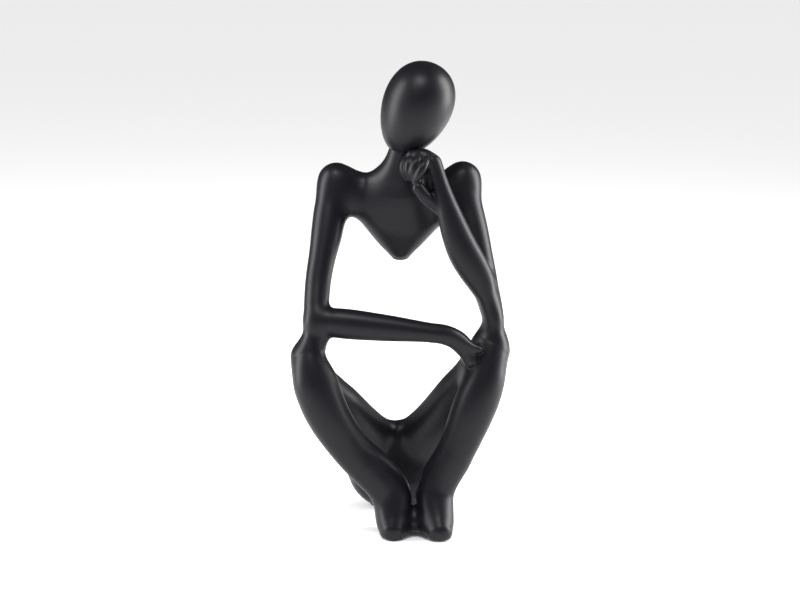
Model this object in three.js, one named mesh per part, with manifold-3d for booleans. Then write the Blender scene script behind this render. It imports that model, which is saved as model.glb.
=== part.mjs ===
// A seated thinker figure for a shelf. Its cast sections are bonded on steel pins and stand on felt pads.
// Millimetres, +Z up. The figure faces -Y, its own left side is +X, and it stands on the plane z = 0.
import * as THREE from "three";
import Module from "manifold-3d";
import { mergeVertices } from "three/addons/utils/BufferGeometryUtils.js";

const wasm = await Module();
wasm.setup();

// Pose: where the joints of the body are
const KNEE_SPAN = 103;
const KNEE_OFFSET = -1.8;
const KNEE_HEIGHT = 102.5;
const KNEE_FORWARD = 40;
const HIP_SPAN = 26;
const HIP_HEIGHT = 23;
const HIP_BACK = 21;
const ANKLE_SPAN = 24.5;
const ANKLE_HEIGHT = 21;
const ANKLE_FORWARD = 37.5;
const FOOT_LENGTH = 22.5;
const TOE_SPAN = 25;
const TOE_RISE = 3.4;
const FEET_OFFSET = 4.4;
const ELBOW_SPAN = 98;
const ELBOW_RISE = 18;
const SHOULDER_SPAN = 71;
const SHOULDER_RISE = 73;
const SHOULDER_BACK = 34;
const CHEST_DROP = 14.5;
const CHEST_FORWARD = 6;
const NECK_RISE = 21;
const NECK_LEAN = 9;
const HAND_INWARD = 14;
const HAND_FORWARD = 7;
const HAND_DROP = 4;
const WRIST_OUTWARD = 8.6;
const WRIST_FORWARD = 14;
const WRIST_DROP = 2;
const HEEL_INWARD = 1.5;
const HEEL_BACK = 8;
const SADDLE_FORWARD = 8;
const SADDLE_RISE = 20.5;

// Girths of the limbs, the largest width and depth of each
const SHIN_WIDTH = 24;
const SHIN_DEPTH = 23;
const THIGH_WIDTH = 29;
const THIGH_DEPTH = 27;
const HEEL_GIRTH = 17;
const BUTTOCK_WIDTH = 32;
const LAP_GIRTH = 15;
const UPPER_ARM_WIDTH = 18;
const UPPER_ARM_DEPTH = 18;
const FOREARM_WIDTH = 17.5;
const FOREARM_DEPTH = 15;
const YOKE_HEIGHT = 33;
const YOKE_DEPTH = 21;
const BREAST_WIDTH = 35;
const BREAST_DEPTH = 22;
const NECK_WIDTH = 17;
const NECK_DEPTH = 17;
const FINGER_GIRTH = 4.6;

// Fillets where limbs run into each other
const TRUNK_FILLET = 12;
const HIP_FILLET = 11;
const CLEFT_FILLET = 6;
const KNEE_FILLET = 5;
const HEEL_FILLET = 8;
const ELBOW_FILLET = 5;
const HAND_FILLET = 2.5;
const FINGER_FILLET = 1;

// The fist, in finger girths: where each knuckle is from the wrist, and how a finger curls down from it.
// The fingers nearer the thumb lean further inward at their tips.
const KNUCKLES = [[-0.92, -0.6, 0.5], [-1.8, -0.15, 0.8], [-2.5, 0.35, 0.8], [-3.05, 0.95, 0.7]];
const FINGER_CURL = [[-0.46, -0.55, -0.75], [-0.52, -0.6, -1.65], [-0.24, -0.2, -2.5]];
const FINGER_LEANS = [1.2, 0.6, 0.15, 0];

// Head: an egg, broad end up
const HEAD_LENGTH = 54;
const HEAD_WIDTH = 38.4;
const HEAD_DEPTH = 42;
const HEAD_TAPER = 0.15;
const HEAD_FULLNESS = 0.05;
const HEAD_TILT = 22.5;
const HEAD_BOW = 4;
const HEAD_SINK = 6.6;
const HEAD_SIDE = 7.6;
const HEAD_FORWARD = 16;

// Joints between the castings
const SEAM_GAP = 0.3;
const SEAT_GAP = 0.35;
const PIN_CLEARANCE = 0.25;
const PIN_END_SPACE = 0.6;
const LIMB_PIN_DIAMETER = 4;
const ARM_PIN_DIAMETER = 3;
const HAND_PIN_DIAMETER = 2.4;
const ARM_PIN_REACH = 8;
const KNEE_PIN_REACH = 6;
const HIP_PIN_REACH = 12;
const NECK_PIN_REACH = 11;
const FIST_PIN_REACH = 6.5;
const HAND_PIN_REACH = 5;
const FOOT_PIN_REACH = 7;
const FOOT_PIN_HEIGHT = 9;

// Felt pads
const PAD_THICKNESS = 1.2;
const SEAT_PAD_LENGTH = 16;
const SEAT_PAD_WIDTH = 30;
const SEAT_PAD_BACK = 1.5;
const FOOT_PAD_LENGTH = 22;
const FOOT_PAD_WIDTH = 10;
const PAD_SIDES = 14;

// Places of the seams: shares of a limb's length from its first joint, and distances
const ELBOW_SEAM_SHARE = 0.15;
const PROP_SEAM_SHARE = 0.36;
const HIP_SEAM_SHARE = 0.55;
const SEAT_FRONT = 20;
const STUB_SURPLUS = 0.12;

// Fineness of the surfaces
const RING_SPACING = 5;
const BODY_CELL = 4.8;
const SEAT_CELL = 5.2;
const ARM_CELL = 3.2;
const HAND_CELL = 2.3;
const FAIRING_ROUNDS = 4;
const BAR_SIDES = 14;
const HEAD_SIDES = 26;
const HEAD_STEPS = 20;

const RIGHT = -1;
const LEFT = 1;
const FRONT = new THREE.Vector3(0, -1, 0);
const BACK = new THREE.Vector3(0, 1, 0);
const UP = new THREE.Vector3(0, 0, 1);
const OUTWARD = new THREE.Vector3(1, 0, 0);
const at = (x, y, z) => new THREE.Vector3(x, y, z);

// Landmarks of the body, each set from the one below it
const knee = (side) => at(KNEE_OFFSET + (side * KNEE_SPAN) / 2, -KNEE_FORWARD, KNEE_HEIGHT);
const hip = (side) => at((side * HIP_SPAN) / 2, HIP_BACK, HIP_HEIGHT);
const ankle = (side) => at(FEET_OFFSET + (side * ANKLE_SPAN) / 2, -ANKLE_FORWARD, ANKLE_HEIGHT);
const toe = (side) =>
  at(FEET_OFFSET + (side * TOE_SPAN) / 2, -ANKLE_FORWARD - FOOT_LENGTH, PAD_THICKNESS + TOE_RISE);
const elbow = (side) => at((side * ELBOW_SPAN) / 2, 1 - KNEE_FORWARD, KNEE_HEIGHT + ELBOW_RISE);
const shoulder = (side) =>
  at((side * SHOULDER_SPAN) / 2, elbow(side).y + SHOULDER_BACK, elbow(side).z + SHOULDER_RISE);
const chest = at(0, shoulder(LEFT).y - CHEST_FORWARD, shoulder(LEFT).z - CHEST_DROP);
const neckTop = at(0.8, chest.y - NECK_LEAN, shoulder(LEFT).z + NECK_RISE);
const headCentre = at(
  HEAD_SIDE,
  shoulder(LEFT).y - HEAD_FORWARD,
  neckTop.z + HEAD_LENGTH / 2 - HEAD_SINK,
);

// Points along a line from a to b. Each is [share of the way, then x, y and z as shares of the length].
function bend(a, b, points) {
  const length = a.distanceTo(b);
  return points.map(([share, x = 0, y = 0, z = 0]) => {
    const aside = at(x, y, z).multiplyScalar(length);
    return a.clone().lerp(b, share).add(aside);
  });
}

// A smooth value along evenly spaced values
function spread(values) {
  const curve = new THREE.CatmullRomCurve3(values.map((v, i) => at(v, i, 0)));
  return (t) => curve.getPoint(t).x;
}

// A limb: an oval section swept along a smooth line. Its field is a distance, negative inside.
function limb({ through, width, depth, taper, flatness = taper, facing = FRONT }) {
  const curve = new THREE.CatmullRomCurve3(through);
  const steps = Math.max(2, Math.ceil(curve.getLength() / RING_SPACING));
  const widthAt = spread(taper);
  const depthAt = spread(flatness);
  const rings = [];
  for (let i = 0; i <= steps; i++) {
    const along = curve.getTangentAt(i / steps);
    const across = along.clone().cross(facing).normalize();
    rings.push({
      centre: curve.getPointAt(i / steps),
      along,
      across,
      front: along.clone().cross(across),
      a: (width * widthAt(i / steps)) / 2,
      b: (depth * depthAt(i / steps)) / 2,
    });
  }
  const bounds = new THREE.Box3();
  for (const ring of rings) {
    const reach = 2 * Math.max(ring.a, ring.b);
    bounds.union(new THREE.Box3().setFromCenterAndSize(ring.centre, at(reach, reach, reach)));
  }
  return { field: (x, y, z) => distanceToLimb(rings, x, y, z), bounds, rings };
}

// The first share of a limb, with a rounded end
function stub(whole, share) {
  const rings = whole.rings.slice(0, Math.ceil(share * whole.rings.length) + 1);
  return { field: (x, y, z) => distanceToLimb(rings, x, y, z), bounds: whole.bounds };
}

// The ring of a limb nearest to a share of its length, where a seam crosses it squarely
const ringAt = (whole, share) => whole.rings[Math.round(share * (whole.rings.length - 1))];

function distanceToLimb(rings, x, y, z) {
  let nearest = Infinity;
  let p = rings[0];
  let q = rings[1];
  let share = 0;
  for (let i = 1; i < rings.length; i++) {
    const from = rings[i - 1].centre;
    const to = rings[i].centre;
    const ex = to.x - from.x;
    const ey = to.y - from.y;
    const ez = to.z - from.z;
    const dot = (x - from.x) * ex + (y - from.y) * ey + (z - from.z) * ez;
    const s = Math.min(1, Math.max(0, dot / (ex * ex + ey * ey + ez * ez)));
    const gap = (x - from.x - s * ex) ** 2 + (y - from.y - s * ey) ** 2 + (z - from.z - s * ez) ** 2;
    if (gap >= nearest) continue;
    nearest = gap;
    p = rings[i - 1];
    q = rings[i];
    share = s;
  }
  const mix = (u, v) => u + (v - u) * share;
  const dx = x - mix(p.centre.x, q.centre.x);
  const dy = y - mix(p.centre.y, q.centre.y);
  const dz = z - mix(p.centre.z, q.centre.z);
  const onto = (v, w) => dx * mix(v.x, w.x) + dy * mix(v.y, w.y) + dz * mix(v.z, w.z);
  const a = mix(p.a, q.a);
  const b = mix(p.b, q.b);
  const c = Math.min(a, b);
  const u = onto(p.across, q.across);
  const v = onto(p.front, q.front);
  const w = onto(p.along, q.along);
  const reach = Math.hypot(u / a, v / b, w / c);
  const slope = Math.hypot(u / (a * a), v / (b * b), w / (c * c));
  return slope < 1e-9 ? -c : (reach * (reach - 1)) / slope;
}

// Forms run into each other with a fillet
function blend(fillet, ...forms) {
  const bounds = new THREE.Box3();
  for (const form of forms) bounds.union(form.bounds);
  const point = at(0, 0, 0);
  const field = (x, y, z) => {
    let d = Infinity;
    point.set(x, y, z);
    for (const form of forms) {
      if (form.bounds.distanceToPoint(point) > d + fillet) continue;
      const e = form.field(x, y, z);
      const h = Math.max(0, fillet - Math.abs(d - e)) / fillet;
      d = Math.min(d, e) - (h * h * fillet) / 4;
    }
    return d;
  };
  return { field, bounds };
}

const grown = (form, by) => ({
  field: (x, y, z) => form.field(x, y, z) - by,
  bounds: form.bounds.clone().expandByScalar(by),
});

// Corners, edges and faces of a grid cell
const CORNERS = [0, 1, 2, 3, 4, 5, 6, 7];
const cornerOf = (c, axis) => (c >> axis) & 1;
const EDGES = [0, 1, 2].flatMap((axis) =>
  CORNERS.filter((c) => !cornerOf(c, axis)).map((c) => ({ axis, from: c, to: c | (1 << axis) })),
);
const onFace = (edge, axis, end) => edge.axis !== axis && cornerOf(edge.from, axis) === end;
const FACES = [0, 1, 2].flatMap((axis) =>
  [0, 1].map((end) => EDGES.map((e, n) => n).filter((n) => onFace(EDGES[n], axis, end))),
);

// Which patch of surface crosses each edge of a cell, so that two sheets in one cell get a vertex each
function patchesOf(inside) {
  const patch = EDGES.map((e, n) => (inside[e.from] === inside[e.to] ? -1 : n));
  const join = ([m, n]) => {
    const [old, kept] = [patch[m], patch[n]];
    patch.forEach((g, k) => {
      if (g === old) patch[k] = kept;
    });
  };
  for (const face of FACES) {
    const crossed = face.filter((n) => patch[n] >= 0);
    if (crossed.length === 2) join(crossed);
    if (crossed.length < 4) continue;
    for (const c of CORNERS.filter((corner) => inside[corner])) {
      const ends = crossed.filter((n) => EDGES[n].from === c || EDGES[n].to === c);
      if (ends.length === 2) join(ends);
    }
  }
  return patch;
}

// The skin of a form as a closed mesh, with one vertex for each patch of surface in a grid cell
function skin(form, cell, box = form.bounds.clone().expandByScalar(cell)) {
  const size = box.getSize(at(0, 0, 0));
  const count = [size.x, size.y, size.z].map((s) => Math.max(3, Math.ceil(s / cell)) + 1);
  const step = at(size.x / (count[0] - 1), size.y / (count[1] - 1), size.z / (count[2] - 1));
  const stride = [1, count[0], count[0] * count[1]];
  const place = (i, j, k) => at(i, j, k).multiply(step).add(box.min);
  const values = new Float64Array(count[0] * count[1] * count[2]).fill(cell);
  const sweep = (from, to, visit) => {
    for (let k = from; k < count[2] - to; k++) {
      for (let j = from; j < count[1] - to; j++) {
        for (let i = from; i < count[0] - to; i++) visit(i, j, k, i + j * stride[1] + k * stride[2]);
      }
    }
  };
  sweep(1, 1, (i, j, k, n) => {
    const p = place(i, j, k);
    values[n] = form.field(p.x, p.y, p.z);
  });
  const points = [];
  const held = [];
  const cells = new Map();
  sweep(0, 1, (i, j, k, base) => {
    const value = CORNERS.map(
      (c) => values[base + cornerOf(c, 0) + cornerOf(c, 1) * stride[1] + cornerOf(c, 2) * stride[2]],
    );
    const inside = value.map((v) => v < 0);
    if (inside.every(Boolean) || !inside.some(Boolean)) return;
    const patch = patchesOf(inside);
    const vertex = patch.map(() => -1);
    for (const g of new Set(patch.filter((n) => n >= 0))) {
      const sum = at(0, 0, 0);
      const members = EDGES.filter((e, n) => patch[n] === g);
      for (const { axis, from, to } of members) {
        const corner = [0, 1, 2].map((k2) => cornerOf(from, k2));
        corner[axis] += value[from] / (value[from] - value[to]);
        sum.add(place(i + corner[0], j + corner[1], k + corner[2]));
      }
      patch.forEach((h, n) => {
        if (h === g) vertex[n] = points.length;
      });
      points.push(sum.divideScalar(members.length));
      held.push([i, j, k].some((n, axis) => n < 1 || n > count[axis] - 3));
    }
    cells.set(base, vertex);
  });
  const quads = quadsOf(cells, values, stride);
  fair(points, held, quads, form, cell);
  const faces = quads.flatMap(([p, q, r, s]) => {
    const pThroughR = points[p].distanceTo(points[r]) < points[q].distanceTo(points[s]);
    return pThroughR ? [p, q, r, p, r, s] : [q, r, s, q, s, p];
  });
  return solid(new THREE.BufferGeometry().setFromPoints(points).setIndex(faces));
}

// One quad round each grid edge that the surface crosses
function quadsOf(cells, values, stride) {
  const quads = [];
  for (const [base, vertex] of cells) {
    for (let axis = 0; axis < 3; axis++) {
      const [m, n] = [(axis + 1) % 3, (axis + 2) % 3];
      const edgeAt = (corner) => EDGES.findIndex((e) => e.axis === axis && e.from === corner);
      if (vertex[edgeAt(0)] < 0) continue;
      const around = [[1, 1], [0, 1], [0, 0], [1, 0]].map(
        ([p, q]) => cells.get(base - p * stride[m] - q * stride[n])[edgeAt((p << m) | (q << n))],
      );
      quads.push(values[base] < 0 ? around : around.reverse());
    }
  }
  return quads;
}

// Evens out the vertices and brings each onto the true surface, apart from those at the grid's border
function fair(points, held, quads, form, cell) {
  for (let round = 0; round <= FAIRING_ROUNDS; round++) {
    if (round > 0) {
      const sums = points.map(() => at(0, 0, 0));
      const links = points.map(() => 0);
      for (const quad of quads) {
        quad.forEach((p, i) => {
          sums[p].add(points[quad[(i + 1) % 4]]).add(points[quad[(i + 3) % 4]]);
          links[p] += 2;
        });
      }
      points.forEach((p, i) => held[i] || p.lerp(sums[i].divideScalar(links[i]), 0.5));
    }
    points.forEach((p, i) => held[i] || bringOnto(p, form, cell));
  }
}

function bringOnto(p, form, cell) {
  const near = 0.02;
  for (let round = 0; round < 2; round++) {
    const { x, y, z } = p;
    const d = form.field(x, y, z);
    const slope = at(
      form.field(x + near, y, z) - d,
      form.field(x, y + near, z) - d,
      form.field(x, y, z + near) - d,
    ).divideScalar(near);
    p.add(slope.multiplyScalar(-d / Math.max(0.1, slope.lengthSq())).clampLength(0, cell / 3));
  }
}

// A geometry as a solid that can be cut and joined, and back
function solid(geometry) {
  const bare = new THREE.BufferGeometry();
  bare.setAttribute("position", geometry.getAttribute("position")).setIndex(geometry.index);
  const merged = mergeVertices(bare, 1e-4);
  const vertProperties = new Float32Array(merged.attributes.position.array);
  const triVerts = new Uint32Array(merged.index.array);
  return new wasm.Manifold(new wasm.Mesh({ numProp: 3, vertProperties, triVerts }));
}

function geometryOf(form) {
  const mesh = form.getMesh();
  return new THREE.BufferGeometry()
    .setAttribute("position", new THREE.BufferAttribute(mesh.vertProperties, 3))
    .setIndex(new THREE.BufferAttribute(mesh.triVerts, 1));
}

// A geometry made along +Z is stood at a point, facing along a direction
function stand(geometry, point, direction) {
  geometry.applyQuaternion(new THREE.Quaternion().setFromUnitVectors(UP, direction.clone().normalize()));
  return geometry.translate(point.x, point.y, point.z);
}

// Everything past a plane through the point, in the direction given, starting a gap away
const REACH = 400;
function past(point, direction, gap = SEAM_GAP / 2) {
  const block = new THREE.BoxGeometry(REACH, REACH, REACH).translate(0, 0, REACH / 2 + gap);
  return solid(stand(block, point, direction));
}

// A block just past a seam across a limb, wide enough to take the limb's stub off and nothing beside it
function plug(seam) {
  const across = 2 * seam.a + 3;
  const depth = 2 * seam.b + 3;
  const length = 4 * seam.b;
  const block = new THREE.BoxGeometry(across, depth, length).translate(0, 0, length / 2 - SEAM_GAP / 2);
  const turn = new THREE.Matrix4().makeBasis(seam.across, seam.front, seam.along);
  return solid(block.applyMatrix4(turn.setPosition(seam.centre)));
}

// A round bar from one point to another, lengthened at both ends
function bar(from, to, diameter, extra = 0) {
  const axis = to.clone().sub(from);
  const length = axis.length() + 2 * extra;
  const cylinder = new THREE.CylinderGeometry(diameter / 2, diameter / 2, length, BAR_SIDES);
  return stand(cylinder.rotateX(Math.PI / 2), from.clone().lerp(to, 0.5), axis);
}

// Trunk
const yoke = limb({
  through: [
    shoulder(RIGHT),
    ...bend(shoulder(RIGHT), chest, [[0.27, 0, 0, -0.02]]),
    chest,
    ...bend(shoulder(LEFT), chest, [[0.27, 0, 0, -0.07]]),
    shoulder(LEFT),
  ],
  width: YOKE_HEIGHT,
  depth: YOKE_DEPTH,
  taper: [0.45, 0.76, 0.98, 0.84, 0.45],
  flatness: [0.7, 0.86, 1, 0.86, 0.7],
});
const breastTop = chest.clone().addScaledVector(UP, YOKE_HEIGHT * 0.42);
const breastTip = chest.clone().addScaledVector(UP, -YOKE_HEIGHT * 0.74);
const breast = limb({
  through: [breastTop, ...bend(breastTop, breastTip, [[0.4], [0.7]]), breastTip],
  width: BREAST_WIDTH,
  depth: BREAST_DEPTH,
  taper: [0.8, 0.95, 1, 1, 1, 0.92, 0.69, 0.43],
  flatness: [0.85, 0.95, 1, 0.97, 0.92, 0.84, 0.7, 0.5],
});
const neck = limb({
  through: [...bend(chest, neckTop, [[0.35, 0, 0.04], [0.7, -0.03]]), neckTop],
  width: NECK_WIDTH,
  depth: NECK_DEPTH,
  taper: [1.25, 1.02, 0.86],
});

// Arms
const upperArm = (side, [high, middle, low], taper) =>
  limb({
    through: [
      shoulder(side),
      ...bend(shoulder(side), elbow(side), [[0.18, side * high], [0.38, side * middle], [0.72, side * low]]),
      elbow(side),
      elbow(side).addScaledVector(UP, -ELBOW_RISE * 0.45),
    ],
    width: UPPER_ARM_WIDTH,
    depth: UPPER_ARM_DEPTH,
    taper,
    flatness: [1, 0.97, 0.92, 0.85, 0.8, 0.8, 0.8],
  });
const rightUpperArm = upperArm(RIGHT, [0.012, 0.014, 0.024], [0.92, 0.95, 0.92, 0.82, 0.79, 0.77, 0.74]);
const leftUpperArm = upperArm(LEFT, [-0.008, -0.004, 0.002], [0.92, 0.95, 0.92, 0.84, 0.76, 0.64, 0.56]);

// The right forearm lies across to a hand on the left knee
const handRest = knee(LEFT).add(at(-HAND_INWARD, -HAND_FORWARD, -HAND_DROP));
const rightForearm = limb({
  through: [
    ...bend(elbow(RIGHT), handRest, [[0.02], [0.12, 0, -0.02, 0.02], [0.4, 0, -0.04, 0.066]]),
    ...bend(elbow(RIGHT), handRest, [[0.72, 0, -0.05, 0.115], [0.83, 0, -0.04, 0.125]]),
    ...bend(elbow(RIGHT), handRest, [[0.91, 0, -0.02, 0.106], [0.97, 0, 0, 0.056]]),
    handRest,
  ],
  width: FOREARM_WIDTH,
  depth: FOREARM_DEPTH,
  taper: [0.8, 0.94, 0.94, 0.88, 0.81, 0.71, 0.63, 0.63, 0.62, 0.5],
  flatness: [0.9, 0.98, 0.96, 0.92, 0.85, 0.78, 0.72, 0.7, 0.66, 0.6],
});

// The left forearm props the chin on its fist
const wrist = headCentre.clone().add(at(WRIST_OUTWARD, -WRIST_FORWARD, -HEAD_LENGTH / 2 - WRIST_DROP));
const leftForearm = limb({
  through: [
    elbow(LEFT),
    ...bend(elbow(LEFT), wrist, [[0.22, 0.01, -0.02], [0.46, -0.027, -0.04], [0.7, -0.024, -0.03]]),
    wrist,
  ],
  width: FOREARM_WIDTH,
  depth: FOREARM_DEPTH,
  taper: [0.44, 0.6, 0.87, 1.01, 1.02, 0.93, 0.8, 0.66, 0.55, 0.52],
  flatness: [0.92, 0.95, 0.98, 1, 0.97, 0.92, 0.85, 0.76, 0.66, 0.62],
});

// Legs. A shin runs on into its foot, which ends in one plain toe.
const shin = (side, [high, middle, low], taper) =>
  limb({
    through: [
      knee(side),
      ...bend(knee(side), ankle(side), [[0.12, side * high, -0.04], [0.4, side * middle, -0.08]]),
      ...bend(knee(side), ankle(side), [[0.7, side * low, -0.06]]),
      ankle(side),
      ...bend(ankle(side), toe(side), [[0.3, 0, 0, -0.08], [0.65, 0, 0, -0.1]]),
      toe(side),
    ],
    width: SHIN_WIDTH,
    depth: SHIN_DEPTH,
    taper,
    flatness: [0.8, 0.95, 1, 0.98, 0.9, 0.84, 0.8, 0.79, 0.72, 0.46],
    facing: at(0, -1, 1),
  });
const rightShin = shin(RIGHT, [0.035, 0.085, 0.044], [0.5, 1, 1.03, 0.99, 0.96, 0.94, 0.96, 1, 0.96, 0.58]);
const leftShin = shin(LEFT, [0.012, 0.005, 0], [0.52, 0.88, 1, 1, 0.92, 0.86, 0.87, 0.94, 0.94, 0.6]);
const heel = (side) => {
  const back = at(ankle(side).x - side * HEEL_INWARD, HEEL_BACK - ANKLE_FORWARD, HEEL_GIRTH / 2 - 0.4);
  return limb({
    through: [back.clone().add(at(0, -HEEL_BACK, 0.4 * HEEL_BACK)), back],
    width: HEEL_GIRTH,
    depth: HEEL_GIRTH,
    taper: [1, 0.92],
    facing: UP,
  });
};
const thigh = (side, kneeEnd, [kneeBow, hipBow], taper, kneeDepth) =>
  limb({
    through: [
      knee(side).add(kneeEnd),
      ...bend(knee(side), hip(side), [[0.22, kneeBow, 0, 0.01], [0.55, hipBow, 0, 0.02]]),
      hip(side),
    ],
    width: THIGH_WIDTH,
    depth: THIGH_DEPTH,
    taper,
    flatness: [kneeDepth, 0.86, 1, 1, 1, 1],
    facing: at(0, 1, 1),
  });
const rightThigh = thigh(RIGHT, at(-2.9, 3, -2), [-0.05, -0.03], [0.5, 0.76, 0.98, 1, 1, 0.98], 0.6);
const leftThigh = thigh(LEFT, at(-2.6, 3, 3), [-0.03, -0.012], [0.72, 0.68, 0.94, 1, 1, 0.98], 0.75);
const buttock = (side) => {
  const inward = -side * 0.125;
  const [under, behind] = [at(inward, -0.06, -0.22), at(inward, 0.16, -0.21)];
  return limb({
    through: [under, behind].map((aside) => hip(side).addScaledVector(aside, BUTTOCK_WIDTH)),
    width: BUTTOCK_WIDTH,
    depth: BUTTOCK_WIDTH,
    taper: [1, 1],
  });
};
const saddle = at(0, hip(LEFT).y - SADDLE_FORWARD, hip(LEFT).z + SADDLE_RISE);
const lap = limb({
  through: [
    ...bend(knee(RIGHT), hip(RIGHT), [[0.5]]),
    saddle,
    ...bend(knee(LEFT), hip(LEFT), [[0.5]]),
  ],
  width: LAP_GIRTH,
  depth: LAP_GIRTH,
  taper: [1, 1, 1],
});
const groin = limb({
  through: [saddle, saddle.clone().add(at(0, -1, -LAP_GIRTH)), at(0, saddle.y + 2, hip(LEFT).z)],
  width: LAP_GIRTH,
  depth: LAP_GIRTH,
  taper: [0.8, 0.7, 1],
});

// Hands. A hand's points are measured from its wrist, in finger girths.
const fromWrist = (points) =>
  points.map(([x, y, z]) => wrist.clone().add(at(x, y, z).multiplyScalar(FINGER_GIRTH)));
const leftPalm = limb({
  through: fromWrist([[0.05, 0, -0.3], [-0.25, 0.1, 0.35], [-1.1, 0.5, 0.8], [-2.4, 0.9, 0.85]]),
  width: 2 * FINGER_GIRTH,
  depth: 2 * FINGER_GIRTH,
  taper: [0.95, 0.98, 1.02, 0.85],
});
const finger = (knuckle, number) => {
  const curl = FINGER_CURL.map(([x, y, z], step) => {
    const lean = FINGER_LEANS[number] * (step / (FINGER_CURL.length - 1)) ** 1.4;
    return [knuckle[0] + x - lean, knuckle[1] + y, knuckle[2] + z];
  });
  return limb({
    through: fromWrist([knuckle, ...curl]),
    width: FINGER_GIRTH,
    depth: FINGER_GIRTH,
    taper: [0.9, 1.05, 0.98, 0.72],
  });
};
const leftFingers = KNUCKLES.map(finger);
const leftThumb = limb({
  through: fromWrist([[0.45, -0.55, -5.2], [-1.2, -0.95, -3.7], [-1.95, -0.95, -2.75]]),
  width: FINGER_GIRTH,
  depth: FINGER_GIRTH,
  taper: [1.45, 1.6, 1.5],
});
const rightThumb = limb({
  through: [
    ...bend(elbow(RIGHT), handRest, [[0.86, 0, -0.055, 0.14]]),
    handRest.clone().addScaledVector(at(-0.3, -0.6, 1.85), FINGER_GIRTH),
    handRest.clone().addScaledVector(at(0.95, -0.4, 1.35), FINGER_GIRTH),
  ],
  width: FINGER_GIRTH,
  depth: FINGER_GIRTH,
  taper: [0.6, 0.95, 0.9],
});

// Forms that are cast together run into each other, and the creases between arms and legs are sharp
const trunkForm = blend(TRUNK_FILLET, yoke, breast, neck, rightUpperArm, leftUpperArm);
const rightElbowStub = stub(rightForearm, ELBOW_SEAM_SHARE + STUB_SURPLUS);
const handForm = blend(HAND_FILLET, rightForearm, rightThumb);
const leftElbowStub = stub(leftForearm, PROP_SEAM_SHARE + STUB_SURPLUS);
const torsoForm = blend(ELBOW_FILLET, trunkForm, rightElbowStub, leftElbowStub);
const buttocks = blend(CLEFT_FILLET, buttock(RIGHT), buttock(LEFT));
const seatForm = blend(HIP_FILLET, rightThigh, leftThigh, lap, groin, buttocks);
const rightLegForm = blend(HEEL_FILLET, rightShin, heel(RIGHT));
const leftLegForm = blend(HEEL_FILLET, leftShin, heel(LEFT));
const legsForm = blend(KNEE_FILLET, seatForm, rightLegForm, leftLegForm);
const palmForm = blend(HAND_FILLET, leftForearm, leftPalm, leftThumb);
const propForm = blend(FINGER_FILLET, palmForm, ...leftFingers);

// Head
function egg(grow = 0) {
  const profile = [];
  for (let i = 0; i <= HEAD_STEPS; i++) {
    const angle = (Math.PI * i) / HEAD_STEPS;
    const bulge = 1 - HEAD_TAPER * Math.cos(angle) + HEAD_FULLNESS * Math.cos(angle) ** 4;
    const radius = i % HEAD_STEPS ? Math.sin(angle) * (HEAD_WIDTH / 2 + grow) * bulge : 0;
    profile.push(new THREE.Vector2(radius, -Math.cos(angle) * (HEAD_LENGTH / 2 + grow)));
  }
  const shape = new THREE.LatheGeometry(profile, HEAD_SIDES).scale(1, 1, HEAD_DEPTH / HEAD_WIDTH);
  shape.rotateX(Math.PI / 2 + THREE.MathUtils.degToRad(HEAD_BOW));
  shape.rotateY(THREE.MathUtils.degToRad(HEAD_TILT));
  return solid(shape.translate(headCentre.x, headCentre.y, headCentre.z));
}

// Seams: a point and the direction that it faces
const rightElbowSeam = ringAt(rightForearm, ELBOW_SEAM_SHARE);
const leftElbowSeam = ringAt(leftForearm, PROP_SEAM_SHARE);
const footSeam = at(FEET_OFFSET, 0, 0);
const floor = at(0, 0, PAD_THICKNESS);
const rightHipSeam = ringAt(rightThigh, HIP_SEAM_SHARE);
const leftHipSeam = ringAt(leftThigh, HIP_SEAM_SHARE);

// The part of the legs that the seat holds, behind both hip seams
const seatRegion = (gap) =>
  past(rightHipSeam.centre, rightHipSeam.along, gap)
    .intersect(past(leftHipSeam.centre, leftHipSeam.along, gap))
    .intersect(past(at(0, -SEAT_FRONT, 0), BACK, gap));

// The skin of a knee with a gap added, to be taken out of what lies on it
function kneeSeat(centre, gap, size) {
  const nearby = new THREE.Box3().setFromCenterAndSize(centre, at(size, size, size));
  return skin(grown(legsForm, gap), ARM_CELL, nearby);
}

// Castings as they are before their bores
const aboveFloor = past(floor, UP, 0);
const room = legsForm.bounds.clone().expandByScalar(SEAT_CELL);
const roomFor = ({ left = room.max.x, right = room.min.x, front = room.min.y }) =>
  new THREE.Box3(at(right, front, room.min.z), at(left, room.max.y, room.max.z));
const torso = skin(torsoForm, BODY_CELL)
  .subtract(plug(rightElbowSeam))
  .subtract(plug(leftElbowSeam))
  .subtract(kneeSeat(knee(RIGHT), SEAM_GAP, 2 * SHIN_WIDTH))
  .subtract(kneeSeat(knee(LEFT), SEAM_GAP, 2 * SHIN_WIDTH))
  .subtract(egg(SEAM_GAP));
const rightForearmCasting = skin(handForm, ARM_CELL)
  .intersect(past(rightElbowSeam.centre, rightElbowSeam.along))
  .subtract(kneeSeat(handRest, SEAT_GAP, 2 * FOREARM_WIDTH));
const leftForearmCasting = skin(propForm, HAND_CELL)
  .intersect(past(leftElbowSeam.centre, leftElbowSeam.along))
  .subtract(egg(SEAM_GAP));
const pelvis = skin(legsForm, SEAT_CELL, roomFor({ front: -SEAT_FRONT - SEAT_CELL }))
  .intersect(seatRegion(SEAM_GAP / 2))
  .intersect(aboveFloor);
const rightLeg = skin(legsForm, BODY_CELL, roomFor({ left: footSeam.x + BODY_CELL }))
  .subtract(seatRegion(-SEAM_GAP / 2))
  .subtract(past(footSeam, OUTWARD, -SEAM_GAP / 2))
  .intersect(aboveFloor);
const leftLeg = skin(legsForm, BODY_CELL, roomFor({ right: footSeam.x - BODY_CELL }))
  .subtract(seatRegion(-SEAM_GAP / 2))
  .intersect(past(footSeam, OUTWARD))
  .intersect(aboveFloor);
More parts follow.
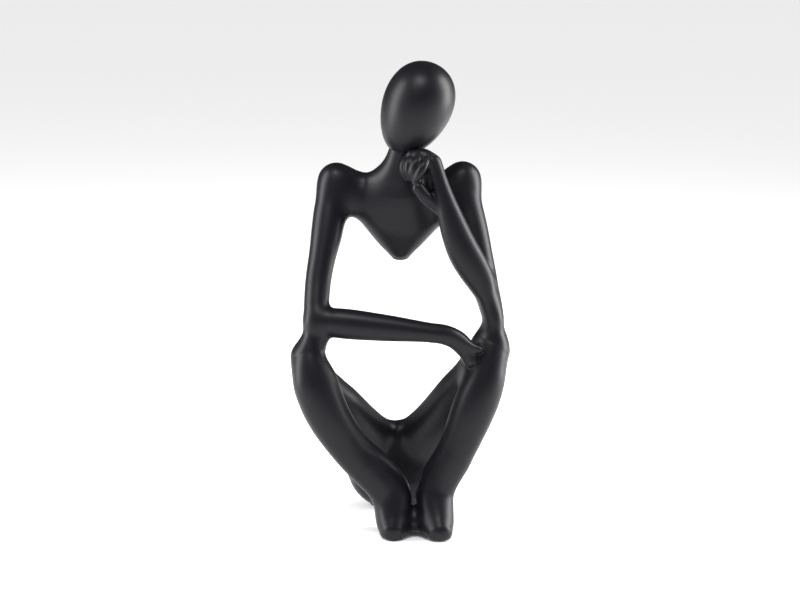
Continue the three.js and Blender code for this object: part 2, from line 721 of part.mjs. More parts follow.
const castings = {
  head: egg(),
  torso,
  right_forearm: rightForearmCasting,
  left_forearm: leftForearmCasting,
  pelvis,
  right_leg: rightLeg,
  left_leg: leftLeg,
};

// Steel pins, each with its ends, its diameter and the two castings that it holds together
const pins = {};
function pin(name, middle, direction, reach, diameter, held) {
  const half = direction.clone().setLength(reach);
  const [from, to] = [middle.clone().sub(half), middle.clone().add(half)];
  const bore = solid(bar(from, to, diameter + 2 * PIN_CLEARANCE, PIN_END_SPACE));
  pins[name] = bar(from, to, diameter);
  for (const casting of held) castings[casting] = castings[casting].subtract(bore);
}
const neckAxis = headCentre.clone().sub(neckTop).normalize();
const neckMiddle = neckTop.clone().addScaledVector(neckAxis, NECK_PIN_REACH * 0.17);
const fist = leftPalm.rings[leftPalm.rings.length - 1].centre;
const chinAxis = headCentre.clone().sub(fist).normalize();
const fistMiddle = fist.clone().addScaledVector(chinAxis, FIST_PIN_REACH);
const handAxis = knee(LEFT).addScaledVector(UP, -HAND_DROP * 1.75).sub(handRest);
const handMiddle = handRest.clone().addScaledVector(handAxis, 0.45);
const kneeMiddle = (side) => elbow(side).lerp(knee(side), 0.5);
const footMiddle = at(footSeam.x, -ANKLE_FORWARD, FOOT_PIN_HEIGHT);
pin("neck_pin", neckMiddle, neckAxis, NECK_PIN_REACH, LIMB_PIN_DIAMETER, ["head", "torso"]);
pin("fist_pin", fistMiddle, chinAxis, FIST_PIN_REACH, HAND_PIN_DIAMETER, ["head", "left_forearm"]);
for (const [side, seam] of [["right", rightElbowSeam], ["left", leftElbowSeam]]) {
  const held = ["torso", `${side}_forearm`];
  pin(`${side}_elbow_pin`, seam.centre, seam.along, ARM_PIN_REACH, ARM_PIN_DIAMETER, held);
}
pin("right_knee_pin", kneeMiddle(RIGHT), UP, KNEE_PIN_REACH, ARM_PIN_DIAMETER, ["torso", "right_leg"]);
pin("left_knee_pin", kneeMiddle(LEFT), UP, KNEE_PIN_REACH, ARM_PIN_DIAMETER, ["torso", "left_leg"]);
pin("hand_pin", handMiddle, handAxis, HAND_PIN_REACH, HAND_PIN_DIAMETER, ["right_forearm", "left_leg"]);
for (const [side, seam] of [["right", rightHipSeam], ["left", leftHipSeam]]) {
  const held = ["pelvis", `${side}_leg`];
  pin(`${side}_hip_pin`, seam.centre, seam.along, HIP_PIN_REACH, LIMB_PIN_DIAMETER, held);
}
pin("foot_pin", footMiddle, OUTWARD, FOOT_PIN_REACH, ARM_PIN_DIAMETER, ["right_leg", "left_leg"]);

// A felt pad: an oval under a sole, turned about +Z
function pad(centre, length, width, turn) {
  const oval = new THREE.Shape().absellipse(0, 0, width / 2, length / 2, 0, 2 * Math.PI);
  const settings = { depth: PAD_THICKNESS, bevelEnabled: false, curveSegments: PAD_SIDES };
  return new THREE.ExtrudeGeometry(oval, settings).rotateZ(turn).translate(centre.x, centre.y, 0);
}
function footPad(side) {
  const middle = ankle(side).lerp(toe(side), 0.5);
  const turn = Math.atan2(ankle(side).x - toe(side).x, FOOT_LENGTH);
  return pad(middle, FOOT_PAD_LENGTH, FOOT_PAD_WIDTH, turn);
}

const figure = new THREE.Group();
function add(name, geometry, material) {
  const mesh = new THREE.Mesh(geometry, material);
  mesh.name = name;
  figure.add(mesh);
}

const satinBlack = new THREE.MeshStandardMaterial({ color: 0x141416, roughness: 0.4, metalness: 0 });
const steel = new THREE.MeshStandardMaterial({ color: 0x9a9ca0, roughness: 0.35, metalness: 1 });
const felt = new THREE.MeshStandardMaterial({ color: 0x1b1b1b, roughness: 1, metalness: 0 });

for (const [name, casting] of Object.entries(castings)) add(name, geometryOf(casting), satinBlack);
for (const [name, geometry] of Object.entries(pins)) add(name, geometry, steel);
add("seat_pad", pad(at(0, hip(LEFT).y + SEAT_PAD_BACK, 0), SEAT_PAD_LENGTH, SEAT_PAD_WIDTH, 0), felt);
add("right_foot_pad", footPad(RIGHT), felt);
add("left_foot_pad", footPad(LEFT), felt);

// The origin is on the shelf, under the middle of the figure
const middle = new THREE.Box3().setFromObject(figure).getCenter(at(0, 0, 0));
figure.position.set(-middle.x, -middle.y, 0);

export default figure;
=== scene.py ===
"""The looks of a seated thinker figure

It shows the figure's painted castings, felt pads and steel pins, and the studio that it stands in.
"""

import math
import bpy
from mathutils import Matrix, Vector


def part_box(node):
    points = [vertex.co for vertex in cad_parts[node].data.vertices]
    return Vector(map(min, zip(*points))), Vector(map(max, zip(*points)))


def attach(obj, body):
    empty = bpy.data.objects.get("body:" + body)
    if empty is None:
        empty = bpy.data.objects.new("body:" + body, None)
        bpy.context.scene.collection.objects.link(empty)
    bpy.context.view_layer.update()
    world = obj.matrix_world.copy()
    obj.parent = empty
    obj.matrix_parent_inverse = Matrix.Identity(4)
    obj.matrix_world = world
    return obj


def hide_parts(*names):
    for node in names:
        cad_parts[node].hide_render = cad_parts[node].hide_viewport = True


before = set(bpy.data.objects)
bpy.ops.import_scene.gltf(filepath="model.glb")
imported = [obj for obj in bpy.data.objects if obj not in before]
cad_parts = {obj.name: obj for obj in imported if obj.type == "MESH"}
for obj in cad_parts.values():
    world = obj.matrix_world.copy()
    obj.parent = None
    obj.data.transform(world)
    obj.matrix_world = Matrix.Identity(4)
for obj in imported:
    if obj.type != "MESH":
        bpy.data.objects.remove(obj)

from concurrent.futures import ThreadPoolExecutor

import bmesh
import bpy
import numpy as np
import openvdb
from bpy.props import FloatProperty, FloatVectorProperty, PointerProperty
from mathutils import Matrix, Vector

bl_info = {
    "name": "Thinker Figure",
    "version": (1, 0, 0),
    "blender": (4, 5, 0),
    "location": "3D View > Sidebar > Figure",
    "description": "Builds a seated thinker figure from its cast sections, pins and pads",
    "category": "Add Mesh",
}

MM = 0.001
TINY = 1e-6
RIGHT, LEFT = -1, 1
FRONT = np.array([0.0, -1.0, 0.0])
UP = np.array([0.0, 0.0, 1.0])
OUTWARD = np.array([1.0, 0.0, 0.0])
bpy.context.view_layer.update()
SEAT_PAD_BACK = 22.5 * MM
WORKERS = ThreadPoolExecutor(4)


def at(x, y, z):
    return np.array([x, y, z], float)


def origin_shift():
    """Where the pose's origin is in the frame: on the shelf, in front of the middle of the seat pad"""
    low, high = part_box("seat_pad")
    middle = (low + high) / 2
    return at(middle.x, middle.y - SEAT_PAD_BACK, 0)


# Sizes and colours


def length(name, description, millimetres):
    return FloatProperty(
        name=name, description=description, default=millimetres * MM, unit="LENGTH", precision=4
    )


def colour(name, description, default):
    return FloatVectorProperty(
        name=name, description=description, default=default, subtype="COLOR", size=3, min=0, max=1
    )


class FigurePose(bpy.types.PropertyGroup):
    """Where the joints of the body are"""

    knee_span: length("Knee span", "Width from knee to knee", 103)
    knee_offset: length("Knee offset", "How far both knees stand to the figure's right", 1.8)
    knee_height: length("Knee height", "Height of the knees above the shelf", 102.5)
    knee_forward: length("Knee forward", "How far the knees are in front of the origin", 40)
    hip_span: length("Hip span", "Width from hip to hip", 26)
    hip_height: length("Hip height", "Height of the hips above the shelf", 23)
    hip_back: length("Hip back", "How far the hips are behind the origin", 21)
    ankle_span: length("Ankle span", "Width from ankle to ankle", 22)
    ankle_height: length("Ankle height", "Height of the ankles above the shelf", 24)
    ankle_forward: length("Ankle forward", "How far the ankles are in front of the origin", 44.5)
    toe_span: length("Toe span", "Width from toe to toe", 27)
    foot_length: length("Foot length", "Length of a foot in front of its ankle", 12.5)
    feet_offset: length("Feet offset", "How far both feet stand to the figure's left", 4.7)
    elbow_span: length("Elbow span", "Width from elbow to elbow", 98)
    elbow_rise: length("Elbow rise", "Height of the elbows above the knees", 18)
    shoulder_span: length("Shoulder span", "Width from shoulder to shoulder", 71)
    shoulder_rise: length("Shoulder rise", "Height of the shoulders above the elbows", 73)
    shoulder_back: length("Shoulder back", "How far the shoulders are behind the elbows", 34)
    head_tilt: FloatProperty(
        name="Head tilt", description="Sideways lean of the head", default=math.radians(22.5), subtype="ANGLE"
    )


class FigureGirths(bpy.types.PropertyGroup):
    """Widths and depths of the limbs and of the head"""

    shin_width: length("Shin width", "Largest width of a shin", 24)
    shin_depth: length("Shin depth", "Largest depth of a shin", 23)
    thigh_width: length("Thigh width", "Largest width of a thigh", 29)
    thigh_depth: length("Thigh depth", "Largest depth of a thigh", 27)
    heel_girth: length("Heel girth", "Girth of a heel", 13)
    buttock_width: length("Buttock width", "Girth of a buttock", 32)
    lap_girth: length("Lap girth", "Girth of the lap between the thighs", 15)
    arm_girth: length("Upper arm girth", "Girth of an upper arm", 18)
    forearm_width: length("Forearm width", "Largest width of a forearm", 17.5)
    forearm_depth: length("Forearm depth", "Largest depth of a forearm", 15)
    yoke_height: length("Yoke height", "Height of the shoulder yoke", 33)
    yoke_depth: length("Yoke depth", "Depth of the shoulder yoke", 21)
    breast_width: length("Chest width", "Width of the chest", 35)
    breast_depth: length("Chest depth", "Depth of the chest", 22)
    neck_girth: length("Neck girth", "Girth of the neck", 17)
    finger_girth: length("Finger girth", "Girth of a finger", 4.6)
    head_length: length("Head length", "Length of the egg", 54)
    head_width: length("Head width", "Width of the egg", 38.4)
    head_depth: length("Head depth", "Depth of the egg, front to back", 42)


class FigureFinish(bpy.types.PropertyGroup):
    """Colours, gloss and fineness"""

    paint: colour("Paint", "Colour of the satin paint", (0.005, 0.0046, 0.0068))
    gloss: FloatProperty(
        name="Roughness", description="Roughness of the satin paint", default=0.4, min=0, max=1,
        subtype="FACTOR",
    )
    felt: colour("Felt", "Colour of the pads", (0.012, 0.012, 0.013))
    floor: colour("Floor", "Colour of the studio floor", (0.97, 0.97, 0.97))
    fineness: length("Fineness", "Size of the smallest faces of the castings", 0.8)


# Smooth lines and limbs


def smooth_line(points, t):
    """Points of a centripetal spline through the points given, at shares t of it"""
    points = np.asarray(points, float)
    last = len(points) - 1
    padded = np.vstack([2 * points[0] - points[1], points, 2 * points[-1] - points[-2]])
    place = np.clip(np.asarray(t, float), 0, 1) * last
    first = np.minimum(place.astype(int), last - 1)
    w = (place - first)[:, None]
    p0, p1, p2, p3 = (padded[first + k] for k in range(4))
    # The square root of each gap, worked out from the gap's square
    roots = [np.sum((q - p) ** 2, 1) ** 0.25 for p, q in ((p0, p1), (p1, p2), (p2, p3))]
    d0, d1, d2 = (np.maximum(root, TINY)[:, None] for root in roots)
    m1 = ((p1 - p0) / d0 - (p2 - p0) / (d0 + d1) + (p2 - p1) / d1) * d1
    m2 = ((p2 - p1) / d1 - (p3 - p1) / (d1 + d2) + (p3 - p2) / d2) * d1
    return p1 + w * (m1 + w * (3 * (p2 - p1) - 2 * m1 - m2 + w * (2 * (p1 - p2) + m1 + m2)))


def spread(values, t):
    """Values that stand at even steps along a line, read at shares t of it"""
    return smooth_line([(v, i) for i, v in enumerate(values)], t)[:, 0]


def bend(a, b, *points):
    """Points along a line from a to b: share of the way, then x, y and z as shares of its length"""
    reach = np.linalg.norm(b - a)
    found = []
    for share, *aside in points:
        found.append(a + (b - a) * share + at(*(list(aside) + [0, 0, 0])[:3]) * reach)
    return found


def box_distance(bounds, p):
    """How far points are outside a box, and nought inside it"""
    return np.linalg.norm(np.maximum(np.maximum(bounds[0] - p, p - bounds[1]), 0), axis=1)


class Limb:
    """An oval section swept along a smooth line. Its field is a distance, negative inside."""

    spacing = 1.5 * MM
    samples = 201
    batch = 12000
    least_stretch = 0.35

    def __init__(self, through, width, depth, taper, flatness=None, facing=FRONT, ease=0):
        """The lists taper and flatness scale the width and the depth, which lies the way of facing. The line
        is evened out as many times as ease says."""
        table = np.linspace(0, 1, self.samples)
        walked = smooth_line(through, table)
        lengths = np.concatenate([[0], np.cumsum(np.linalg.norm(np.diff(walked, axis=0), axis=1))])
        count = max(8, math.ceil(lengths[-1] / self.spacing)) + 1
        share = np.linspace(0, 1, count)
        t = np.interp(share * lengths[-1], lengths, table)
        step = lengths[-1] / (count - 1)
        change = lambda v: np.gradient(v, step, axis=0, edge_order=2)
        unit = lambda v: v / np.linalg.norm(v, axis=1, keepdims=True)
        self.centre = smooth_line(through, t)
        for _ in range(ease):
            self.centre[1:-1] = (self.centre[:-2] + 2 * self.centre[1:-1] + self.centre[2:]) / 4
        self.along = unit(np.gradient(self.centre, axis=0, edge_order=2))
        self.turn = change(self.along)
        self.across = unit(np.cross(self.along, facing))
        self.front = np.cross(self.along, self.across)
        self.across_change = change(self.across)
        self.front_change = change(self.front)
        self.a = width / 2 * spread(taper, share)
        self.b = depth / 2 * spread(flatness or taper, share)
        self.a_change, self.b_change = change(self.a), change(self.b)
        self.step = step
        girth = np.maximum(self.a, self.b)[:, None]
        self.bounds = ((self.centre - girth).min(0), (self.centre + girth).max(0))

    def field(self, p):
        parts = np.array_split(p, max(1, len(p) // self.batch))
        return np.concatenate(list(WORKERS.map(self.part_field, parts)))

    def stretch(self, gap, turn):
        """How fast the place along the line changes for points at a gap from it: slower inside a bend"""
        return np.maximum(self.least_stretch, 1 - (gap * turn).sum(1))

    def part_field(self, p):
        square = (self.centre**2).sum(1) - 2 * p @ self.centre.T
        n = square.argmin(1)
        along, turn = self.along[n], self.turn[n]
        low = np.where(n == 0, 0.0, -self.step)
        high = np.where(n == len(self.centre) - 1, 0.0, self.step)
        d = p - self.centre[n]
        t = np.clip((d * along).sum(1) / self.stretch(d, turn), low, high)
        for _ in range(2):
            gap = d - along * t[:, None] - turn * (0.5 * t * t)[:, None]
            heading = along + turn * t[:, None]
            t = np.clip(t + (gap * heading).sum(1) / self.stretch(gap, turn), low, high)
        t1 = t[:, None]
        gap = d - along * t1 - turn * (0.5 * t1 * t1)
        u = (gap * (self.across[n] + self.across_change[n] * t1)).sum(1)
        v = (gap * (self.front[n] + self.front_change[n] * t1)).sum(1)
        w = (gap * (along + turn * t1)).sum(1)
        a = self.a[n] + self.a_change[n] * t
        b = self.b[n] + self.b_change[n] * t
        c = np.minimum(a, b)
        reach = np.sqrt((u / a) ** 2 + (v / b) ** 2 + (w / c) ** 2)
        slope = np.sqrt((u / a**2) ** 2 + (v / b**2) ** 2 + (w / c**2) ** 2)
        return np.where(slope < TINY, -c, reach * (reach - 1) / np.maximum(slope, TINY))

    def past(self, share, p):
        """How far points are past the ring that is nearest to a share of the limb's length"""
        n = round(share * (len(self.centre) - 1))
        return (p - self.centre[n]) @ self.along[n]


class Blend:
    """Forms that run into each other with a fillet, which may change over space"""

    def __init__(self, fillet, *forms):
        self.fillet = fillet if callable(fillet) else (lambda p: np.full(len(p), fillet))
        self.forms = forms
        self.bounds = (
            np.min([f.bounds[0] for f in forms], axis=0),
            np.max([f.bounds[1] for f in forms], axis=0),
        )

    def field(self, p):
        fillet = self.fillet(p)
        d = np.full(len(p), np.inf)
        for form in self.forms:
            near = box_distance(form.bounds, p) <= d + fillet
            if not near.any():
                continue
            e = form.field(p[near])
            k, held = fillet[near], d[near]
            h = np.maximum(0, k - np.abs(held - e)) / k
            d[near] = np.minimum(held, e) - h * h * k / 4
        return d


def ramp(value, start, end):
    """Goes softly from 0 to 1 while a value goes from start to end"""
    share = np.clip((value - start) / (end - start), 0, 1)
    return share * share * (3 - 2 * share)


def changing_fillet(first, last, value, start, end):
    """A fillet that goes from first to last, in mm, while a value of the points goes from start to end"""
    return lambda p: (first + (last - first) * ramp(value(p), start, end)) * MM


# The body as one form


class Body:
    """The whole figure without its head, and the seams between its castings"""

    # How high the soles are on their pads, and what the sizes in the panel leave open
    floor = 1.2 * MM
    ankle_spread = {RIGHT: 2 * MM, LEFT: 0}
    toe_rise, toe_stagger = 3.6 * MM, 2 * MM
    heel_back, heel_rise = 13 * MM, 3 * MM
    heel_shift = {RIGHT: -1 * MM, LEFT: -1.5 * MM}
    web_girth = 10 * MM
    buttock_inward = {RIGHT: 0.2, LEFT: 0.13}
    chest_tip_rise, chest_tip_width, chest_tip_depth = 5 * MM, 13.4 * MM, 12 * MM
    # Where castings part, as shares of a limb's length, and where the pelvis ends in front
    prop_seam, hand_seam, hip_seam = 0.36, 0.15, 0.55
    pelvis_front = 20 * MM

    def __init__(self, pose, girth):
        self.shift = origin_shift()
        self.landmarks(pose)
        self.trunk(girth)
        self.arms(pose, girth)
        self.legs(pose, girth)
        self.hands(girth)
        self.join()

    def landmarks(self, pose):
        shift = self.shift

        def pair(place):
            return {side: shift + place(side) for side in (RIGHT, LEFT)}

        def knee(side):
            return at(side * pose.knee_span / 2 - pose.knee_offset, -pose.knee_forward, pose.knee_height)

        def hip(side):
            return at(side * pose.hip_span / 2, pose.hip_back, pose.hip_height)

        def ankle(side):
            x = pose.feet_offset + side * (pose.ankle_span + self.ankle_spread[side]) / 2
            return at(x, -pose.ankle_forward, pose.ankle_height)

        def toe(side):
            x = pose.feet_offset + side * pose.toe_span / 2
            y = -pose.ankle_forward - pose.foot_length - side * self.toe_stagger
            return at(x, y, self.floor + self.toe_rise)

        def elbow(side):
            y, z = 1 * MM - pose.knee_forward, pose.knee_height + pose.elbow_rise
            return at(side * pose.elbow_span / 2, y, z)

        def shoulder(side):
            rise = at(0, pose.shoulder_back, pose.shoulder_rise)
            inward = at(side * (pose.shoulder_span - pose.elbow_span) / 2, 0, 0)
            return self.elbow[side] - shift + rise + inward

        self.knee, self.hip, self.ankle, self.toe = pair(knee), pair(hip), pair(ankle), pair(toe)
        self.elbow = pair(elbow)
        self.shoulder = pair(shoulder)
        level = self.shoulder[LEFT] * at(0, 1, 1) + at(shift[0], 0, 0)
        self.chest = level + at(0, -6, -14.5) * MM
        self.neck_top = level + at(0.8, -15, 21) * MM
        self.head_centre = level + at(7.6, -16, 41.4) * MM
        self.feet_seam = shift[0] + pose.feet_offset

    def trunk(self, girth):
        chest, shoulder = self.chest, self.shoulder
        height = girth.yoke_height
        self.yoke = Limb(
            [
                shoulder[RIGHT],
                *bend(shoulder[RIGHT], chest, [0.27, 0, 0, -0.02]),
                chest,
                *bend(shoulder[LEFT], chest, [0.27, 0, 0, -0.07]),
                shoulder[LEFT],
            ],
            height, girth.yoke_depth, [0.41, 0.76, 0.98, 0.84, 0.42], [0.7, 0.86, 1, 0.86, 0.7],
        )
        top, tip = chest + UP * height * 0.42, chest - UP * height * 0.845
        breast = Limb(
            [top, *bend(top, tip, [0.4], [0.7]), tip],
            girth.breast_width, girth.breast_depth,
            [0.8, 0.95, 1, 0.98, 0.92, 0.79, 0.58, 0.25], [0.85, 0.95, 1, 0.97, 0.9, 0.78, 0.55, 0.14],
        )
        middle, stub = tip + UP * self.chest_tip_rise, UP * 0.1 * MM
        point = Limb([middle - stub, middle + stub], self.chest_tip_width, self.chest_tip_depth, [1, 1])
        self.breast = Blend(2 * MM, breast, point)
        self.neck = Limb(
            [*bend(chest, self.neck_top, [0.35, 0, 0.04], [0.7, -0.03]), self.neck_top],
            girth.neck_girth, girth.neck_girth, [1.25, 1.02, 0.86],
        )

    def arms(self, pose, girth):
        def upper_arm(side, high, middle, low, taper):
            shoulder, elbow = self.shoulder[side], self.elbow[side]
            bows = [0.18, side * high], [0.38, side * middle], [0.72, side * low]
            return Limb(
                [shoulder, *bend(shoulder, elbow, *bows), elbow, elbow - UP * pose.elbow_rise * 0.45],
                girth.arm_girth, girth.arm_girth, taper, [1, 0.97, 0.92, 0.85, 0.8, 0.8, 0.8],
            )

        self.right_upper_arm = upper_arm(
            RIGHT, 0.012, 0.014, 0.024, [0.89, 1.0, 0.97, 0.84, 0.79, 0.77, 0.74]
        )
        self.left_upper_arm = upper_arm(
            LEFT, -0.008, -0.004, 0.002, [0.89, 0.95, 0.93, 0.84, 0.76, 0.64, 0.54]
        )
        self.hand_rest = self.knee[LEFT] + at(-14, -7, -4) * MM
        elbow, rest = self.elbow[RIGHT], self.hand_rest
        self.right_forearm = Limb(
            bend(
                elbow, rest, [0.02], [0.12, 0, -0.02, 0.02], [0.4, 0, -0.04, 0.066], [0.72, 0, -0.05, 0.115],
                [0.83, 0, -0.04, 0.125], [0.91, 0, -0.02, 0.106], [0.97, 0, 0, 0.056], [1],
            ),
            girth.forearm_width, girth.forearm_depth,
            [0.8, 0.94, 0.94, 0.88, 0.81, 0.71, 0.63, 0.63, 0.62, 0.5],
            [0.9, 0.98, 0.96, 0.92, 0.85, 0.78, 0.72, 0.7, 0.66, 0.6],
        )
        self.wrist = self.head_centre + at(8.6, -14, -29) * MM
        elbow = self.elbow[LEFT]
        self.left_forearm = Limb(
            [
                elbow,
                *bend(elbow, self.wrist, [0.22, 0.01, -0.02], [0.46, -0.027, -0.04], [0.7, -0.024, -0.03]),
                self.wrist,
            ],
            girth.forearm_width, girth.forearm_depth,
            [0.44, 0.6, 0.87, 1.01, 1.02, 0.93, 0.8, 0.66, 0.55, 0.52],
            [0.92, 0.95, 0.98, 1, 0.97, 0.92, 0.85, 0.76, 0.66, 0.62],
        )

    def legs(self, pose, girth):
        knee, hip, ankle, toe = self.knee, self.hip, self.ankle, self.toe

        def shin(side, high, middle, low, taper):
            bows = [0.12, side * high, -0.04], [0.4, side * middle, -0.05], [0.7, side * low, -0.02]
            return Limb(
                [
                    knee[side] - UP * 1.5 * MM, *bend(knee[side], ankle[side], *bows), ankle[side],
                    *bend(ankle[side], toe[side], [0.5, 0, 0.08, -0.06]), toe[side],
                ],
                girth.shin_width, girth.shin_depth, taper,
                [0.8, 0.95, 1, 0.98, 0.9, 0.84, 0.8, 0.78, 0.76, 0.58], at(0, -1, 1), 40,
            )

        def heel(side):
            x = ankle[side][0] + self.heel_shift[side]
            back = at(x, ankle[side][1] + self.heel_back, toe[side][2] + self.heel_rise)
            calf = bend(knee[side], ankle[side], [0.78, side * 0.04])[0]
            return Limb(
                [calf, back + at(0, -7, 14) * MM, back, back + (toe[side] - back) * 0.75 + UP * MM],
                girth.heel_girth, girth.heel_girth, [0.8, 0.88, 1, 1.04, 0.9, 0.8],
            )

        def web(side):
            return Limb(
                [toe[side] + at(-2 * side, 1, 0) * MM, cleft],
                self.web_girth, self.web_girth, [1, 0.85], facing=UP,
            )

        def thigh(side, knee_end, knee_bow, hip_bow, taper, knee_depth):
            bows = [0.22, knee_bow, 0, 0.01], [0.55, hip_bow, 0, 0.02]
            return Limb(
                [knee[side] + knee_end * MM, *bend(knee[side], hip[side], *bows), hip[side]],
                girth.thigh_width, girth.thigh_depth, taper, [knee_depth, 0.86, 1, 1, 1, 1], at(0, 1, 1),
            )

        def buttock(side):
            width = girth.buttock_width
            middle = hip[side] - OUTWARD * side * width * self.buttock_inward[side]
            return Limb(
                [middle + at(0, -0.06, -0.22) * width, middle + at(0, 0.16, -0.21) * width],
                width, width, [1, 1],
            )

        self.right_shin = shin(
            RIGHT, 0.042, 0.104, 0.088, [0.58, 1.0, 1.04, 1.0, 0.95, 0.95, 1.0, 0.96, 0.81, 0.46]
        )
        self.left_shin = shin(
            LEFT, 0.012, 0.017, 0.03, [0.52, 0.86, 1, 1, 0.92, 0.87, 0.87, 0.85, 0.78, 0.5]
        )
        self.heels = heel(RIGHT), heel(LEFT)
        cleft = (toe[RIGHT] + toe[LEFT]) / 2 + at(0.8, 12, 4.6) * MM
        self.webs = web(RIGHT), web(LEFT)
        self.right_thigh = thigh(RIGHT, at(-0.8, 3, -3), -0.05, -0.03, [0.46, 0.76, 0.98, 1, 1, 0.98], 0.6)
        self.left_thigh = thigh(LEFT, at(-3.2, 3, 2), -0.03, -0.012, [0.66, 0.68, 0.94, 1, 1, 0.98], 0.75)
        self.buttocks = buttock(RIGHT), buttock(LEFT)
        saddle = (hip[RIGHT] + hip[LEFT]) / 2 + at(0, -8, 20.5) * MM
        self.lap = Limb(
            [*bend(knee[RIGHT], hip[RIGHT], [0.5]), saddle, *bend(knee[LEFT], hip[LEFT], [0.5])],
            girth.lap_girth, girth.lap_girth, [1.1, 1.08, 1, 1.08, 1.1],
        )
        low = saddle * at(1, 1, 0) + at(0, 2 * MM, pose.hip_height)
        self.groin = Limb(
            [saddle + at(0, 1, -4) * MM, saddle + at(0, 0, -15) * MM, low],
            girth.lap_girth, girth.lap_girth, [0.6, 0.7, 1],
        )

    def hands(self, girth):
        """Most places are counted from the wrist, in finger girths"""
        size = girth.finger_girth

        def from_wrist(points):
            return [self.wrist + at(*point) * size for point in points]

        curl = [[-0.46, -0.55, -0.75], [-0.52, -0.6, -1.65], [-0.24, -0.2, -2.5]]
        knuckles = [[-0.92, -0.6, 0.5], [-1.8, -0.15, 0.8], [-2.5, 0.35, 0.8], [-3.05, 0.95, 0.7]]
        leans = [1.2, 0.6, 0.15, 0]
        palm = [
            [-0.75, 0.75, -3.8], [-0.6, 0.6, -1.7], [-0.4, 0.15, 0.2], [-1.15, 0.5, 0.75], [-2.4, 0.9, 0.85],
        ]
        self.left_palm = Limb(from_wrist(palm), 2 * size, 2 * size, [0.7, 0.8, 0.9, 0.95, 1.02, 0.85])
        self.left_fingers = []
        for knuckle, lean in zip(knuckles, leans):
            steps = [at(*c) - OUTWARD * lean * (i / 2) ** 1.4 for i, c in enumerate(curl)]
            points = [knuckle] + [at(*knuckle) + step for step in steps]
            self.left_fingers.append(Limb(from_wrist(points), size, size, [0.9, 1.05, 0.98, 0.72]))
        thumb = [[0.45, -0.55, -5.2], [-1.2, -0.95, -3.7], [-1.95, -0.95, -2.75]]
        self.left_thumb = Limb(from_wrist(thumb), size, size, [1.45, 1.6, 1.5])
        self.right_thumb = Limb(
            [
                *bend(self.elbow[RIGHT], self.hand_rest, [0.86, 0, -0.055, 0.14]),
                self.hand_rest + at(-0.3, -0.6, 1.85) * size,
                self.hand_rest + at(0.95, -0.4, 1.35) * size,
            ],
            size, size, [0.6, 0.95, 0.9],
        )

    def join(self):
        """Blends the limbs into one form. Fillets are small at the hands, larger at elbows and knees."""
        middle = self.shift[0]
        elbow_fillet = changing_fillet(5, 0.8, lambda p: p[:, 0], middle - 30 * MM, middle)
        prop_fillet = changing_fillet(5, 0.8, lambda p: p[:, 2], 160 * MM, 185 * MM)
        knee_fillet = changing_fillet(5, 11, lambda p: p[:, 2], 65 * MM, 95 * MM)
        crease = changing_fillet(
            1.2, 8.2, lambda p: np.linalg.norm(p - self.hand_rest, axis=1), 9 * MM, 22 * MM
        )
        self.trunk_form = Blend(
            12 * MM, self.yoke, self.breast, self.neck, self.right_upper_arm, self.left_upper_arm
        )
        self.hand_form = Blend(2.5 * MM, self.right_forearm, self.right_thumb)
        fist = Blend(2.5 * MM, self.left_forearm, self.left_palm, self.left_thumb)
        self.prop_form = Blend(1 * MM, fist, *self.left_fingers)
        self.upper = Blend(prop_fillet, Blend(elbow_fillet, self.trunk_form, self.hand_form), self.prop_form)
        buttocks = Blend(6 * MM, *self.buttocks)
        seat = Blend(12 * MM, self.right_thigh, self.left_thigh, self.lap, self.groin, buttocks)
        shins = self.right_shin, self.left_shin
        legs = [Blend(8 * MM, shin, heel) for shin, heel in zip(shins, self.heels)]
        self.lower = Blend(knee_fillet, seat, *legs, *self.webs)
        self.form = Blend(crease, self.upper, self.lower)

    # Each of these values is negative on one side of a seam and positive on the other
    def waist_side(self, p):
        return self.lower.field(p) - self.upper.field(p)

    def prop_side(self, p):
        apart = self.prop_form.field(p) - self.trunk_form.field(p)
        return np.maximum(-self.left_forearm.past(self.prop_seam, p), apart)

    def hand_side(self, p):
        apart = self.hand_form.field(p) - self.trunk_form.field(p)
        return np.maximum(-self.right_forearm.past(self.hand_seam, p), apart)

    def pelvis_side(self, p):
        behind = [limb.past(self.hip_seam, p) for limb in (self.right_thigh, self.left_thigh)]
        behind.append(p[:, 1] - self.shift[1] + self.pelvis_front)
        return -np.minimum.reduce(behind)

    def feet_side(self, p):
        return p[:, 0] - self.feet_seam


# The head


class Head:
    """An egg, broad end up, that leans on the fist"""

    taper, fullness, least_bulge = 0.15, 0.05, 0.5
    nod = math.radians(4)

    def __init__(self, body, pose, girth):
        self.half = at(girth.head_width, girth.head_depth, girth.head_length) / 2
        turn = Matrix.Rotation(pose.head_tilt, 4, "Y") @ Matrix.Rotation(self.nod, 4, "X")
        self.place = Matrix.Translation(body.head_centre) @ turn
        self.turn = np.array(turn.to_3x3())
        self.centre = body.head_centre

    def shape(self, co):
        """A point of a ball of radius 1 moved to the egg"""
        bulge = 1 + self.taper * co.z + self.fullness * co.z**4
        return Vector((co.x * self.half[0] * bulge, co.y * self.half[1] * bulge, co.z * self.half[2]))

    def field(self, p):
        local = (p - self.centre) @ self.turn
        z = local[:, 2] / self.half[2]
        bulge = np.maximum(self.least_bulge, 1 + self.taper * z + self.fullness * np.minimum(1, z * z) ** 2)
        x, y = local[:, 0] / (self.half[0] * bulge), local[:, 1] / (self.half[1] * bulge)
        return (np.sqrt(x * x + y * y + z * z) - 1) * self.half[0]


# Meshes


PROBES = np.array([(1, -1, -1), (-1, -1, 1), (-1, 1, -1), (1, 1, 1)], float)
PROBE_REACH = 0.06 * MM
LEAST_SLOPE = 0.1
SMOOTHINGS = 3


def figure_of(scene):
    """The body and the head at the sizes that the panel shows"""
    body = Body(scene.figure_pose, scene.figure_girths)
    return body, Head(body, scene.figure_pose, scene.figure_girths)


def corners_of(verts):
    return np.array([v.co for v in verts])


